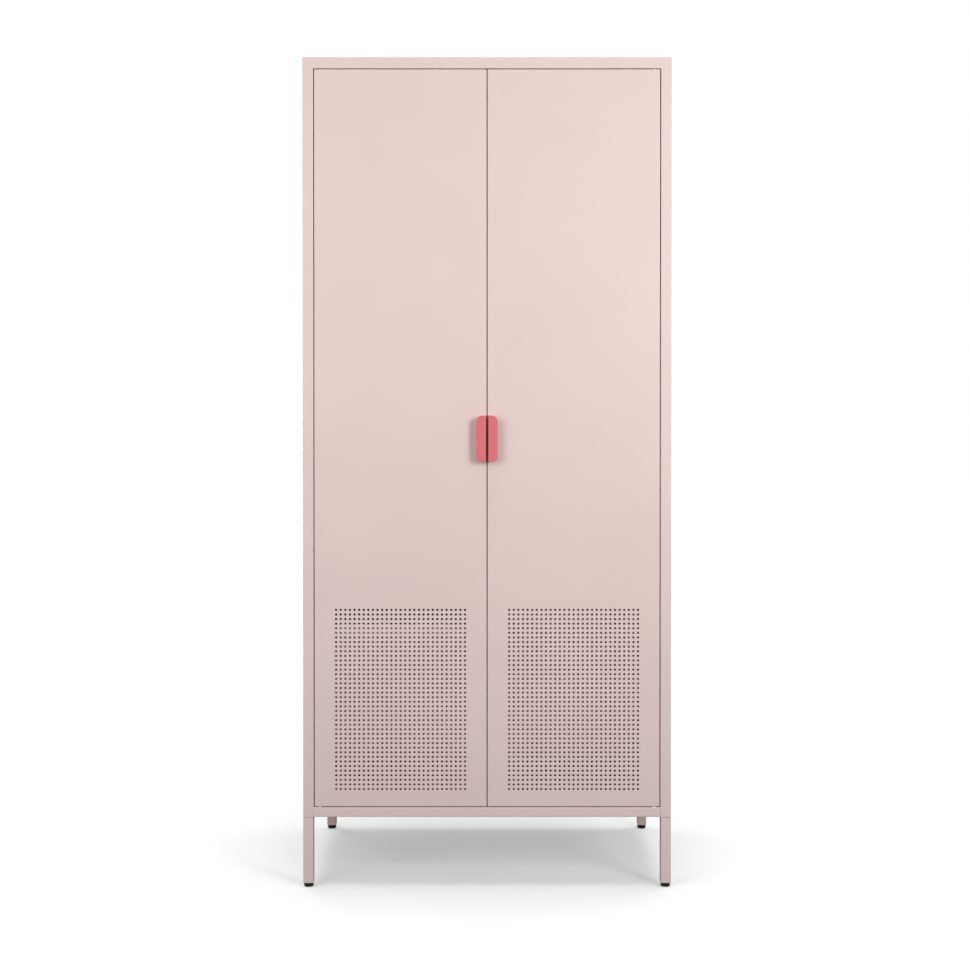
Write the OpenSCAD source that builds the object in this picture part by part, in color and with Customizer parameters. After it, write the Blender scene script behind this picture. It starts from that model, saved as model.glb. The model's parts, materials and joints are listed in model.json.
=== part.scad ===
// Two-door steel locker cabinet on square legs: four shelf spaces behind the left door,
// a hanging space behind the right one. The origin is on the floor under the middle of the
// cabinet: +X to the right, +Y to the back, +Z up. Sizes are in millimetres.

/* [Cabinet] */
// Overall width
cabinet_w = 800; // [700:10:1000]
// Height of the steel body, without legs and feet
body_h = 1650; // [1500:10:1800]
// Depth of the steel body, without the handles
body_d = 480; // [420:10:560]
// Thickness of the body sheet
sheet = 1; // [0.8:0.1:1.2]
// Width of each folded front post
post_w = 23; // [22:1:28]
// Depth of each folded front post
post_d = 25; // [24:1:32]
// Height of the rail above the doors
top_rail_h = 25; // [22:1:40]
// Height of the rail below the doors
bottom_rail_h = 21; // [20:1:30]
// Width of the flange folded along the back edges
rear_flange_w = 22; // [18:1:26]

/* [Doors] */
// Gap around and between the doors
door_gap = 2; // [2:0.5:3]
// Depth of each folded door
door_d = 20; // [18:1:22]
// Thickness of the door sheet
door_sheet = 0.8; // [0.7:0.1:1]
// Width of the lip folded in behind each door
door_lip = 14; // [12:1:18]
// Distance of the hinge line from the outer edge of the door
pivot_in = 11.5; // [11:0.5:13]
// Distance of the hinge line behind the face of the door
pivot_back = 6; // [6:0.5:7]
// Diameter of the hinge pins
pivot_d = 6; // [5:0.5:6]
// Radial clearance of the hinge pins in their bushes
pivot_clearance = 0.05; // [0.03:0.01:0.08]

/* [Perforation] */
// Diameter of one round hole
hole_d = 5; // [4:0.5:6]
// Spacing of the holes both ways
hole_pitch = 10; // [9:0.5:12]
// Number of holes across one door
hole_columns = 29; // [20:1:29]
// Number of rows of holes
hole_rows = 40; // [20:1:50]
// Height of the lowest row above the bottom edge of the door
hole_foot = 38; // [30:1:60]

/* [Handles] */
// Height of one handle
handle_h = 100; // [80:5:140]
// Width of one handle
handle_w = 20.8; // [18:0.2:26]
// Distance that a handle stands out from the door
handle_reach = 20; // [18:1:24]
// Thickness of the handle plate
handle_t = 2.5; // [2:0.5:3]
// Radius of the outer corners
handle_round = 13; // [6:1:16]
// Outer radius of the two folds
handle_fold = 3.5; // [3:0.5:5]
// Set-back of the handle from the free edge of its door
handle_set = 1.2; // [1:0.1:2]

/* [Inside] */
// Number of slots from one shelf to the next
shelf_slots = 12; // [9:1:12]
// Height of the folded edges of a shelf
shelf_edge = 25; // [20:1:30]
// Width of the folded front edge of the partition
partition_face = 25; // [25:1:30]
// Height of the hat shelf above the cabinet floor
hat_shelf_rise = 1266; // [1150:1:1300]
// Drop of the hanging rail below the hat shelf
rail_drop = 62; // [55:1:90]
// Diameter of the hanging rail
rail_d = 25; // [20:1:28]

/* [Legs and feet] */
// Length of one leg
leg_h = 144; // [100:1:180]
// Width of the square leg tube
leg_w = 22; // [20:1:23]
// Wall of the leg tube
leg_wall = 1.5; // [1.5:0.5:2]
// Height of one foot when it is screwed in
foot_h = 9; // [8:1:12]
// Diameter of one foot
foot_d = 20.6; // [18:0.2:22]
// Diameter of the foot's threaded stem
stem_d = 8; // [6:1:8]
// Length of the foot's threaded stem
stem_l = 40; // [30:1:50]

/* [Wall fixing] */
// Distance between the two wall-fixing holes
wall_hole_spacing = 600; // [400:10:600]
// Diameter of the wall-fixing holes
wall_hole_d = 8; // [6:1:10]
// Distance of the wall-fixing holes below the top of the cabinet
wall_hole_drop = 43; // [43:1:80]

/* [Hidden] */
$fn = 48;

// How far a cut runs on past the solid that it cuts
over = 1;

pink = [0.89, 0.81, 0.79];
coral = [0.87, 0.45, 0.47];
zinc = [0.76, 0.77, 0.79];
black = [0.11, 0.11, 0.11];
nylon = [0.93, 0.92, 0.90];

// Outer faces of the steel body
side_x = cabinet_w / 2;
front_y = handle_reach - (body_d + handle_reach) / 2;
back_y = front_y + body_d;
base_z = foot_h + leg_h;
top_z = base_z + body_h;

// Inner faces that the other pieces meet
post_x = side_x - post_w;
post_back_y = front_y + post_d;
wall_x = side_x - sheet;
floor_z = base_z + bottom_rail_h;
ceiling_z = top_z - top_rail_h;
back_panel_y = back_y - 2 * sheet;
weld_flange = 20;
hem = 12;

// Door outline: the left door spans -door_outer_x to -door_inner_x
door_outer_x = post_x - door_gap;
door_inner_x = door_gap / 2;
door_w = door_outer_x - door_inner_x;
door_z0 = floor_z + door_gap;
door_z1 = ceiling_z - door_gap;
door_mid_z = (door_z0 + door_z1) / 2;
door_back_y = front_y + door_d;
skin_y = front_y + door_sheet;

// Hinge line of the left door, its bushes and the plates that hold pins and bushes
pivot_x = -(door_outer_x - pivot_in);
pivot_y = front_y + pivot_back;
bush_d = 9;
bush_flange_d = 10.6;
bush_l = 9;
thrust_gap = 0.3;
pivot_plate_t = 3;
pivot_plate_l = 32;
pin_head_h = 3;
pin_reach = 12;

// Stiffener in the plain upper part of a door
stiffener_w = 40;
stiffener_foot = 15;
stiffener_d = 14;
stiffener_gap = 30;
hole_top_z = door_z0 + hole_foot + (hole_rows - 1) * hole_pitch;

// Handle and its screws, on the left door
handle_x = -(door_inner_x + handle_set);
handle_z0 = door_mid_z - handle_h / 2;
handle_screw_inset = 10;
handle_screw_x = handle_x - handle_screw_inset;
handle_screw_dz = 30;
screw_d = 4;
screw_head_d = 8;
screw_head_h = 2.4;

// Partition: its web forms the right wall of the shelf space
partition_set_back = 24;
partition_y = front_y + partition_set_back;
partition_left_x = -partition_face / 2;
partition_right_x = partition_left_x + sheet;
partition_return = 15;

// Magnets and rubber buffers on the face of the partition, behind the lips of the doors
magnet_w = 9;
magnet_t = 3.6;
magnet_h = 60;
magnet_x = 2.5;
magnet_dz = 300;
buffer_d = 8;
buffer_t = 3.7;
buffer_inset = 60;

// Slotted uprights and shelves
upright_w = 20;
upright_d = 5;
upright_front_inset = 16;
upright_rear_inset = 23;
upright_y = [partition_y + upright_front_inset, back_panel_y - upright_rear_inset - upright_w];
upright_end_gap = 2;
slot_w = 3;
slot_h = 12;
slot_pitch = 33;
slot_first = 2;
slot_last = 48;
slot_below_shelf = 6;
shelf_count = 3;
shelf_rise = shelf_slots * slot_pitch;
shelf_side_gap = 1;
shelf_set_back = 4;
shelf_front_y = partition_y + shelf_set_back;
shelf_back_gap = 2;
shelf_left_x = -wall_x + upright_d + shelf_side_gap;
shelf_right_x = partition_left_x - upright_d - shelf_side_gap;
clip_w = 14;
clip_t = 2;
clip_reach = 12;
tongue_reach = 1;
tongue_side_gap = 0.2;
tongue_end_gap = 0.5;

// Hanging space
hat_shelf_z = floor_z + hat_shelf_rise;
hat_shelf_front_gap = 2;
hat_shelf_y = partition_y + partition_return + hat_shelf_front_gap;
rail_z = hat_shelf_z - rail_drop;
rail_y = (partition_y + back_panel_y) / 2;
rail_wall = 1.5;
socket_flange_d = 46;
socket_flange_t = 3;
socket_cup_d = 31;
socket_cup_l = 12;
socket_screw_dy = 18;
socket_screw_head_d = 5;
socket_screw_head_h = 1.5;
rivet_d = 4;
rivet_head_d = 8;
rivet_head_h = 1.2;
rivet_front_inset = 40;
rivet_rear_inset = 50;
rivet_y = [hat_shelf_y + rivet_front_inset, back_panel_y - rivet_rear_inset];
rivet_z = hat_shelf_z - shelf_edge / 2;

// Legs: the front ones stand under the posts, the rear ones in the back corners
leg_x = side_x - leg_w / 2;
leg_front_y = front_y + leg_w / 2;
leg_rear_y = back_y - leg_w / 2;
leg_cap_t = 3;
stud_d = 10;
stud_below = 8;
stud_above = 14;
nut_plate_w = 18;
nut_plate_t = 6;
insert_h = 20;
stem_clearance = 0.05;
foot_edge = 2.5;
foot_gap = 0.2;
stem_in_pad = 4;

// Wall fixing
wall_hole_x = wall_hole_spacing / 2;
wall_hole_z = top_z - wall_hole_drop;
wall_plate_w = 60;
wall_plate_h = 36;
wall_plate_t = 3;

// A block between two opposite corners
module box(low, high) {
  translate(low) cube(high - low);
}

// The same shape mirrored to the right-hand side
module on_right() {
  mirror([1, 0, 0]) children();
}

// An outline in the XZ plane, as thick as t, with its back face at y
module upright_plate(y, t) {
  translate([0, y, 0]) rotate([90, 0, 0]) linear_extrude(t) children();
}

// A round bar along X from x0 to x1
module bar_x(d, x0, x1) {
  translate([x0, 0, 0]) rotate([0, 90, 0]) cylinder(d = d, h = x1 - x0);
}

// ---------------------------------------------------------------- body

// Plan of a side panel: web, closed front post and rear flange
module side_plan() {
  difference() {
    translate([-side_x, front_y]) square([post_w, post_d]);
    translate([-side_x + sheet, front_y + sheet]) square([post_w - 2 * sheet, post_d - 2 * sheet]);
  }
  translate([-side_x, front_y]) square([sheet, body_d]);
  translate([-side_x, back_y - sheet]) square([rear_flange_w, sheet]);
}

module side_panel() {
  translate([0, 0, base_z]) linear_extrude(body_h - sheet) side_plan();
  difference() {
    box([-wall_x, front_y + sheet, base_z], [-wall_x + weld_flange, back_y - sheet, base_z + sheet]);
    for (y = [leg_front_y, leg_rear_y])
      translate([-leg_x, y, base_z - over]) cylinder(d = stud_d, h = sheet + 2 * over);
  }
}

module left_side_panel() {
  color(pink) side_panel();
}

module right_side_panel() {
  color(pink) on_right() side_panel();
}

// Roof sheet, front rail with its folded return, weld flanges at the sides and back
module top_panel() {
  color(pink) difference() {
    union() {
      box([-side_x, front_y, top_z - sheet], [side_x, back_y, top_z]);
      box([-post_x, front_y, ceiling_z], [post_x, front_y + sheet, top_z - sheet]);
      box([-post_x, front_y, ceiling_z], [post_x, post_back_y, ceiling_z + sheet]);
      box([-post_x, post_back_y - sheet, ceiling_z], [post_x, post_back_y, ceiling_z + hem]);
      for (s = [-1, 1])
        box([s > 0 ? wall_x - sheet : -wall_x, post_back_y, top_z - weld_flange],
            [s > 0 ? wall_x : -wall_x + sheet, back_panel_y, top_z - sheet]);
      box([-side_x + rear_flange_w, back_y - sheet, top_z - weld_flange],
          [side_x - rear_flange_w, back_y, top_z - sheet]);
    }
    for (s = [-1, 1])
      translate([s * pivot_x, pivot_y, ceiling_z - over]) cylinder(d = pivot_d, h = sheet + 2 * over);
  }
}

// Floor sheet, front rail between the posts, weld flanges at the sides and back
module floor_panel() {
  color(pink) difference() {
    union() {
      box([-post_x, front_y, floor_z - sheet], [post_x, back_y, floor_z]);
      box([-wall_x, post_back_y, floor_z - sheet], [wall_x, back_y - sheet, floor_z]);
      box([-post_x, front_y, base_z], [post_x, front_y + sheet, floor_z]);
      box([-post_x, front_y, base_z], [post_x, front_y + weld_flange, base_z + sheet]);
      for (s = [-1, 1])
        box([s > 0 ? wall_x - sheet : -wall_x, post_back_y, base_z + sheet],
            [s > 0 ? wall_x : -wall_x + sheet, back_y - sheet, floor_z]);
      box([-side_x + rear_flange_w, back_y - sheet, base_z], [side_x - rear_flange_w, back_y, floor_z]);
    }
    for (s = [-1, 1])
      translate([s * pivot_x, pivot_y, floor_z - sheet - over])
        cylinder(d = pivot_d, h = sheet + 2 * over);
  }
}

module wall_holes_2d() {
  for (s = [-1, 1])
    translate([s * wall_hole_x, wall_hole_z]) circle(d = wall_hole_d);
}

module back_panel() {
  color(pink) upright_plate(back_y - sheet, sheet) difference() {
    translate([-wall_x, floor_z]) square([2 * wall_x, top_z - sheet - floor_z]);
    wall_holes_2d();
  }
}

// Steel plates that spread the load of the wall screws
module wall_fixing_plates() {
  color(zinc) upright_plate(back_panel_y, wall_plate_t) difference() {
    for (s = [-1, 1])
      translate([s * wall_hole_x - wall_plate_w / 2, wall_hole_z - wall_plate_h / 2])
        square([wall_plate_w, wall_plate_h]);
    wall_holes_2d();
  }
}

// One sheet: web, wide front face behind the gap between the doors, its return, rear flange
module centre_partition() {
  color(pink) {
    box([partition_left_x, partition_y, floor_z], [-partition_left_x, partition_y + sheet, ceiling_z]);
    box([-partition_right_x, partition_y, floor_z],
        [-partition_left_x, partition_y + partition_return, ceiling_z]);
    box([partition_left_x, partition_y, floor_z], [partition_right_x, back_panel_y, ceiling_z]);
    box([partition_left_x, post_back_y, floor_z], [partition_right_x, back_panel_y, top_z - sheet]);
    box([partition_left_x, back_panel_y - sheet, floor_z],
        [partition_left_x + partition_return, back_panel_y, top_z - sheet]);
  }
}

// ---------------------------------------------------------------- shelf space

function shelf_z(i) = floor_z + i * shelf_rise;

// A slotted channel whose face stands upright_d from the wall at x = 0
module slotted_upright(y) {
  low_z = floor_z + upright_end_gap;
  high_z = ceiling_z - upright_end_gap;
  translate([upright_d - sheet, y, 0]) rotate([90, 0, 90]) linear_extrude(sheet) difference() {
    translate([0, low_z]) square([upright_w, high_z - low_z]);
    for (i = [slot_first : slot_last])
      translate([(upright_w - slot_w) / 2, slot_z(i) - slot_h / 2]) square([slot_w, slot_h]);
  }
  for (edge_y = [y, y + upright_w - sheet])
    box([0, edge_y, low_z], [upright_d, edge_y + sheet, high_z]);
}

function slot_z(i) = floor_z + i * slot_pitch - shelf_edge - slot_below_shelf;

module shelf_uprights() {
  color(pink) for (y = upright_y) {
    translate([-wall_x, 0, 0]) slotted_upright(y);
    translate([partition_left_x, 0, 0]) mirror([1, 0, 0]) slotted_upright(y);
  }
}

// A clip with its tongue in a slot; the shelf's hem rests on its ledge
module shelf_clip(y, ledge_z) {
  mid_y = y + upright_w / 2;
  box([0, mid_y - clip_w / 2, ledge_z - slot_h - clip_t], [clip_t, mid_y + clip_w / 2, ledge_z]);
  box([0, mid_y - clip_w / 2, ledge_z - clip_t], [clip_reach, mid_y + clip_w / 2, ledge_z]);
  tongue_w = slot_w - 2 * tongue_side_gap;
  tongue_h = slot_h - 2 * tongue_end_gap;
  box([-sheet - tongue_reach, mid_y - tongue_w / 2, ledge_z - slot_below_shelf - tongue_h / 2],
      [0, mid_y + tongue_w / 2, ledge_z - slot_below_shelf + tongue_h / 2]);
}

module shelf_clips() {
  color(zinc) for (i = [1 : shelf_count], y = upright_y) {
    translate([-wall_x + upright_d, 0, 0]) shelf_clip(y, shelf_z(i) - shelf_edge);
    translate([partition_left_x - upright_d, 0, 0]) mirror([1, 0, 0])
      shelf_clip(y, shelf_z(i) - shelf_edge);
  }
}

// A tray turned upside down, with a hem all round its lower edge
module folded_shelf(x0, x1, y0, y1, z) {
  difference() {
    box([x0, y0, z - shelf_edge], [x1, y1, z]);
    box([x0 + sheet, y0 + sheet, z - shelf_edge + sheet], [x1 - sheet, y1 - sheet, z - sheet]);
    box([x0 + hem, y0 + hem, z - shelf_edge - over], [x1 - hem, y1 - hem, z - sheet]);
  }
}

module left_shelf(i) {
  folded_shelf(shelf_left_x, shelf_right_x, shelf_front_y, back_panel_y - shelf_back_gap, shelf_z(i));
}

module lower_shelf() {
  color(pink) left_shelf(1);
}

module middle_shelf() {
  color(pink) left_shelf(2);
}

module upper_shelf() {
  color(pink) left_shelf(3);
}

// ---------------------------------------------------------------- hanging space

module hat_shelf() {
  color(pink) difference() {
    folded_shelf(partition_right_x, wall_x, hat_shelf_y, back_panel_y - sheet, hat_shelf_z);
    for (y = rivet_y)
      translate([0, y, rivet_z]) bar_x(rivet_d, partition_left_x, side_x);
  }
}

module hat_shelf_rivets() {
  color(zinc) for (y = rivet_y) translate([0, y, rivet_z]) {
    bar_x(rivet_d, partition_right_x, partition_right_x + sheet);
    bar_x(rivet_head_d, partition_right_x + sheet, partition_right_x + sheet + rivet_head_h);
    bar_x(rivet_d, wall_x - sheet, wall_x);
    bar_x(rivet_head_d, wall_x - sheet - rivet_head_h, wall_x - sheet);
  }
}

module hanging_rail() {
  color(zinc) translate([0, rail_y, rail_z]) difference() {
    bar_x(rail_d, partition_right_x + socket_flange_t, wall_x - socket_flange_t);
    bar_x(rail_d - 2 * rail_wall, partition_right_x, wall_x);
  }
}

// A flanged cup on the wall at x = 0 that holds one end of the rail
module rail_socket() {
  difference() {
    union() {
      bar_x(socket_flange_d, 0, socket_flange_t);
      bar_x(socket_cup_d, 0, socket_cup_l);
    }
    bar_x(rail_d, socket_flange_t, socket_cup_l + over);
    for (s = [-1, 1])
      translate([0, s * socket_screw_dy, 0]) bar_x(screw_d, -over, socket_flange_t + over);
  }
}

// The heads of the two screws that hold a socket, with their shanks in its flange
module socket_screws() {
  for (s = [-1, 1]) translate([0, s * socket_screw_dy, 0]) {
    bar_x(screw_d, 0, socket_flange_t);
    bar_x(socket_screw_head_d, socket_flange_t, socket_flange_t + socket_screw_head_h);
  }
}

module rail_sockets() {
  color(zinc) translate([0, rail_y, rail_z]) {
    translate([partition_right_x, 0, 0]) rail_socket();
    translate([wall_x, 0, 0]) mirror([1, 0, 0]) rail_socket();
  }
}

module rail_socket_screws() {
  color(zinc) translate([0, rail_y, rail_z]) {
    translate([partition_right_x, 0, 0]) socket_screws();
    translate([wall_x, 0, 0]) mirror([1, 0, 0]) socket_screws();
  }
}

// ---------------------------------------------------------------- hinges and catches

// A steel plate around the hinge line, between heights z0 and z1
module pivot_plate(z0, z1, x_edge, y0, y1, d) {
  difference() {
    box([x_edge, y0, z0], [x_edge + pivot_plate_l, y1, z1]);
    translate([pivot_x, pivot_y, z0 - over]) cylinder(d = d, h = z1 - z0 + 2 * over);
  }
}

module upper_pivot_plate() {
  low_z = ceiling_z + sheet;
  pivot_plate(low_z, low_z + pivot_plate_t, -post_x, front_y + sheet, post_back_y - sheet, pivot_d);
}

module lower_pivot_plate() {
  high_z = floor_z - sheet;
  pivot_plate(high_z - pivot_plate_t, high_z, -post_x, front_y + sheet, post_back_y - sheet, pivot_d);
}

module upper_pivot_plates() {
  color(zinc) {
    upper_pivot_plate();
    on_right() upper_pivot_plate();
  }
}

module lower_pivot_plates() {
  color(zinc) {
    lower_pivot_plate();
    on_right() lower_pivot_plate();
  }
}

module upper_pivot_pin() {
  head_z = ceiling_z + sheet + pivot_plate_t;
  foot_z = door_z1 - pin_reach;
  translate([pivot_x, pivot_y, foot_z]) cylinder(d = pivot_d, h = head_z - foot_z);
  translate([pivot_x, pivot_y, head_z]) cylinder(d = bush_d, h = pin_head_h);
}

module lower_pivot_pin() {
  head_z = floor_z - sheet - pivot_plate_t;
  translate([pivot_x, pivot_y, head_z]) cylinder(d = pivot_d, h = door_z0 + pin_reach - head_z);
  translate([pivot_x, pivot_y, head_z - pin_head_h]) cylinder(d = bush_d, h = pin_head_h);
}

module upper_pivot_pins() {
  color(zinc) {
    upper_pivot_pin();
    on_right() upper_pivot_pin();
  }
}

module lower_pivot_pins() {
  color(zinc) {
    lower_pivot_pin();
    on_right() lower_pivot_pin();
  }
}

module door_magnets() {
  color(black) for (dz = [-magnet_dz, magnet_dz], x = [-magnet_x - magnet_w, magnet_x])
    box([x, partition_y - magnet_t, door_mid_z + dz - magnet_h / 2],
        [x + magnet_w, partition_y, door_mid_z + dz + magnet_h / 2]);
}

module door_buffers() {
  color(black) for (z = [door_z0 + buffer_inset, door_z1 - buffer_inset], s = [-1, 1])
    translate([s * (magnet_x + magnet_w / 2), partition_y, z]) rotate([90, 0, 0])
      cylinder(d = buffer_d, h = buffer_t);
}

// ---------------------------------------------------------------- legs and feet

module leg(x, y) {
  translate([x, y, foot_h]) difference() {
    translate([-leg_w / 2, -leg_w / 2, 0]) cube([leg_w, leg_w, leg_h]);
    translate([-leg_w / 2 + leg_wall, -leg_w / 2 + leg_wall, -over])
      cube([leg_w - 2 * leg_wall, leg_w - 2 * leg_wall, leg_h - leg_cap_t + over]);
    cylinder(d = stud_d, h = leg_h + over);
  }
}

module leg_front_left() {
  color(pink) leg(-leg_x, leg_front_y);
}

module leg_front_right() {
  color(pink) leg(leg_x, leg_front_y);
}

module leg_rear_left() {
  color(pink) leg(-leg_x, leg_rear_y);
}

module leg_rear_right() {
  color(pink) leg(leg_x, leg_rear_y);
}

// Repeats its children on the axis of each leg
module at_legs() {
  for (x = [-leg_x, leg_x], y = [leg_front_y, leg_rear_y])
    translate([x, y, 0]) children();
}

module leg_nut_plates() {
  color(zinc) at_legs() difference() {
    box([-nut_plate_w / 2, -nut_plate_w / 2, base_z + sheet],
        [nut_plate_w / 2, nut_plate_w / 2, base_z + sheet + nut_plate_t]);
    translate([0, 0, base_z]) cylinder(d = stud_d, h = 2 * nut_plate_t);
  }
}

module leg_studs() {
  color(zinc) at_legs() translate([0, 0, base_z - stud_below])
    cylinder(d = stud_d, h = stud_below + stud_above);
}

// Plugs in the open ends of the legs, bored for the stems of the feet
module leg_inserts() {
  half = leg_w / 2 - leg_wall;
  color(black) at_legs() difference() {
    box([-half, -half, foot_h], [half, half, foot_h + insert_h]);
    translate([0, 0, foot_h - over])
      cylinder(d = stem_d + 2 * stem_clearance, h = insert_h + 2 * over);
  }
}

// A round pad with a rounded lower edge and a socket for its stem
module foot_pad(x, y) {
  pad_h = foot_h - foot_gap;
  color(black) translate([x, y, 0]) difference() {
    rotate_extrude() {
      translate([0, foot_edge]) square([foot_d / 2, pad_h - foot_edge]);
      square([foot_d / 2 - foot_edge, pad_h]);
      intersection() {
        translate([foot_d / 2 - foot_edge, foot_edge]) circle(r = foot_edge);
        square([foot_d / 2, pad_h]);
      }
    }
    translate([0, 0, pad_h - stem_in_pad]) cylinder(d = stem_d, h = stem_in_pad + over);
  }
}

module foot_stem(x, y) {
  color(zinc) translate([x, y, foot_h - foot_gap - stem_in_pad]) cylinder(d = stem_d, h = stem_l);
}

module foot_pad_front_left() {
  foot_pad(-leg_x, leg_front_y);
}

module foot_pad_front_right() {
  foot_pad(leg_x, leg_front_y);
}

module foot_pad_rear_left() {
  foot_pad(-leg_x, leg_rear_y);
}

module foot_pad_rear_right() {
  foot_pad(leg_x, leg_rear_y);
}

module foot_stem_front_left() {
  foot_stem(-leg_x, leg_front_y);
}

module foot_stem_front_right() {
  foot_stem(leg_x, leg_front_y);
}

module foot_stem_rear_left() {
  foot_stem(-leg_x, leg_rear_y);
}

module foot_stem_rear_right() {
  foot_stem(leg_x, leg_rear_y);
}

// ---------------------------------------------------------------- doors, drawn as the left one

// Front sheet with its square grid of holes and the two holes for the handle screws
module door_face_2d() {
  first_x = -door_outer_x + (door_w - (hole_columns - 1) * hole_pitch) / 2;
  difference() {
    translate([-door_outer_x, door_z0]) square([door_w, door_z1 - door_z0]);
    for (column = [0 : hole_columns - 1], row = [0 : hole_rows - 1])
      translate([first_x + column * hole_pitch, door_z0 + hole_foot + row * hole_pitch])
        circle(d = hole_d);
    for (s = [-1, 1])
      translate([handle_screw_x, door_mid_z + s * handle_screw_dz]) circle(d = screw_d);
  }
}

// The four edges folded back behind the front sheet, with their lips
module door_rim() {
  difference() {
    box([-door_outer_x, skin_y, door_z0], [-door_inner_x, door_back_y, door_z1]);
    box([-door_outer_x + door_sheet, front_y, door_z0 + door_sheet],
        [-door_inner_x - door_sheet, door_back_y - door_sheet, door_z1 - door_sheet]);
    box([-door_outer_x + door_lip, front_y, door_z0 + door_lip],
        [-door_inner_x - door_lip, door_back_y + over, door_z1 - door_lip]);
    for (z = [door_z0, door_z1])
      translate([pivot_x, pivot_y, z - door_gap]) cylinder(d = bush_d, h = 2 * door_gap);
  }
}

module door_panel() {
  upright_plate(skin_y, door_sheet) door_face_2d();
  door_rim();
}

// Hat-shaped channel welded behind the plain part of the door
module door_stiffener() {
  mid_x = -(door_outer_x + door_inner_x) / 2;
  half_w = stiffener_w / 2;
  crown_y = skin_y + stiffener_d;
  low_z = hole_top_z + stiffener_gap;
  high_z = door_z1 - stiffener_gap;
  for (s = [-1, 1]) {
    foot_x = s > 0 ? mid_x + half_w : mid_x - half_w - stiffener_foot;
    web_x = s > 0 ? mid_x + half_w - door_sheet : mid_x - half_w;
    box([foot_x, skin_y, low_z], [foot_x + stiffener_foot, skin_y + door_sheet, high_z]);
    box([web_x, skin_y, low_z], [web_x + door_sheet, crown_y, high_z]);
  }
  box([mid_x - half_w, crown_y - door_sheet, low_z], [mid_x + half_w, crown_y, high_z]);
}

// Plates inside the door, at its top and bottom edges, that hold the bushes
module door_pivot_plates_pair() {
  x_edge = -door_outer_x + door_sheet;
  back = door_back_y - door_sheet;
  low_z = door_z0 + door_sheet;
  high_z = door_z1 - door_sheet;
  pivot_plate(low_z, low_z + pivot_plate_t, x_edge, skin_y, back, bush_d);
  pivot_plate(high_z - pivot_plate_t, high_z, x_edge, skin_y, back, bush_d);
}

// Bush standing on z = 0. With a flange, it fills the gap below the door and carries its weight
module bush(flanged) {
  difference() {
    union() {
      cylinder(d = bush_d, h = bush_l);
      if (flanged)
        translate([0, 0, thrust_gap - door_gap]) cylinder(d = bush_flange_d, h = door_gap - thrust_gap);
    }
    translate([0, 0, -door_gap])
      cylinder(d = pivot_d + 2 * pivot_clearance, h = door_gap + bush_l + over);
  }
}

module door_bushes() {
  translate([pivot_x, pivot_y, door_z0]) bush(true);
  translate([pivot_x, pivot_y, door_z1]) mirror([0, 0, 1]) bush(false);
}

// Outline seen from above of a rectangle whose two right-hand corners are round
module folded_outline(w, d, r) {
  square([w - r, d]);
  translate([0, r]) square([w, d - 2 * r]);
  for (y = [r, d - r])
    translate([w - r, y]) circle(r = r);
}

// Channel-shaped pull: foot on the door, web beside the free edge, front tab
module handle() {
  inner_fold = handle_fold - handle_t;
  gap = handle_reach - 2 * handle_t;
  intersection() {
    translate([handle_x - handle_w, front_y - handle_reach, handle_z0]) linear_extrude(handle_h)
      difference() {
        folded_outline(handle_w, handle_reach, handle_fold);
        translate([-over, handle_t]) folded_outline(handle_w - handle_t + over, gap, inner_fold);
      }
    upright_plate(front_y + over, handle_reach + 2 * over) union() {
      translate([handle_x - handle_w + handle_round, handle_z0])
        square([handle_w - handle_round + over, handle_h]);
      translate([handle_x - handle_w, handle_z0 + handle_round])
        square([handle_w, handle_h - 2 * handle_round]);
      for (z = [handle_z0 + handle_round, handle_z0 + handle_h - handle_round])
        translate([handle_x - handle_w + handle_round, z]) circle(r = handle_round);
    }
  }
}

module handle_with_holes() {
  difference() {
    handle();
    for (s = [-1, 1])
      translate([handle_screw_x, front_y + over, door_mid_z + s * handle_screw_dz])
        rotate([90, 0, 0]) cylinder(d = screw_d, h = handle_t + 2 * over);
  }
}

// Screws from inside the door into the foot of the handle
module handle_screws() {
  for (s = [-1, 1]) translate([handle_screw_x, skin_y, door_mid_z + s * handle_screw_dz]) {
    rotate([90, 0, 0]) cylinder(d = screw_d, h = door_sheet + handle_t);
    rotate([-90, 0, 0]) cylinder(d = screw_head_d, h = screw_head_h);
  }
}

module left_door_panel() {
  color(pink) door_panel();
}

module left_door_stiffener() {
  color(pink) door_stiffener();
}

module left_door_pivot_plates() {
  color(zinc) door_pivot_plates_pair();
}

module left_door_bushes() {
  color(nylon) door_bushes();
}

module left_handle() {
  color(coral) handle_with_holes();
}

module left_handle_screws() {
  color(zinc) handle_screws();
}

module right_door_panel() {
  color(pink) on_right() door_panel();
}

module right_door_stiffener() {
  color(pink) on_right() door_stiffener();
}

module right_door_pivot_plates() {
  color(zinc) on_right() door_pivot_plates_pair();
}

module right_door_bushes() {
  color(nylon) on_right() door_bushes();
}

module right_handle() {
  color(coral) on_right() handle_with_holes();
}

module right_handle_screws() {
  color(zinc) on_right() handle_screws();
}

// ---------------------------------------------------------------- one line for each sub-part

left_side_panel();
right_side_panel();
top_panel();
floor_panel();
back_panel();
centre_partition();
shelf_uprights();
shelf_clips();
lower_shelf();
middle_shelf();
upper_shelf();
hat_shelf();
hat_shelf_rivets();
hanging_rail();
rail_sockets();
rail_socket_screws();
wall_fixing_plates();
upper_pivot_plates();
upper_pivot_pins();
lower_pivot_plates();
lower_pivot_pins();
door_magnets();
door_buffers();
leg_front_left();
leg_front_right();
leg_rear_left();
leg_rear_right();
leg_nut_plates();
leg_studs();
leg_inserts();
left_door_panel();
left_door_stiffener();
left_door_pivot_plates();
left_door_bushes();
left_handle();
left_handle_screws();
right_door_panel();
right_door_stiffener();
right_door_pivot_plates();
right_door_bushes();
right_handle();
right_handle_screws();
foot_pad_front_left();
foot_pad_front_right();
foot_pad_rear_left();
foot_pad_rear_right();
foot_stem_front_left();
foot_stem_front_right();
foot_stem_rear_left();
foot_stem_rear_right();
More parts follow.
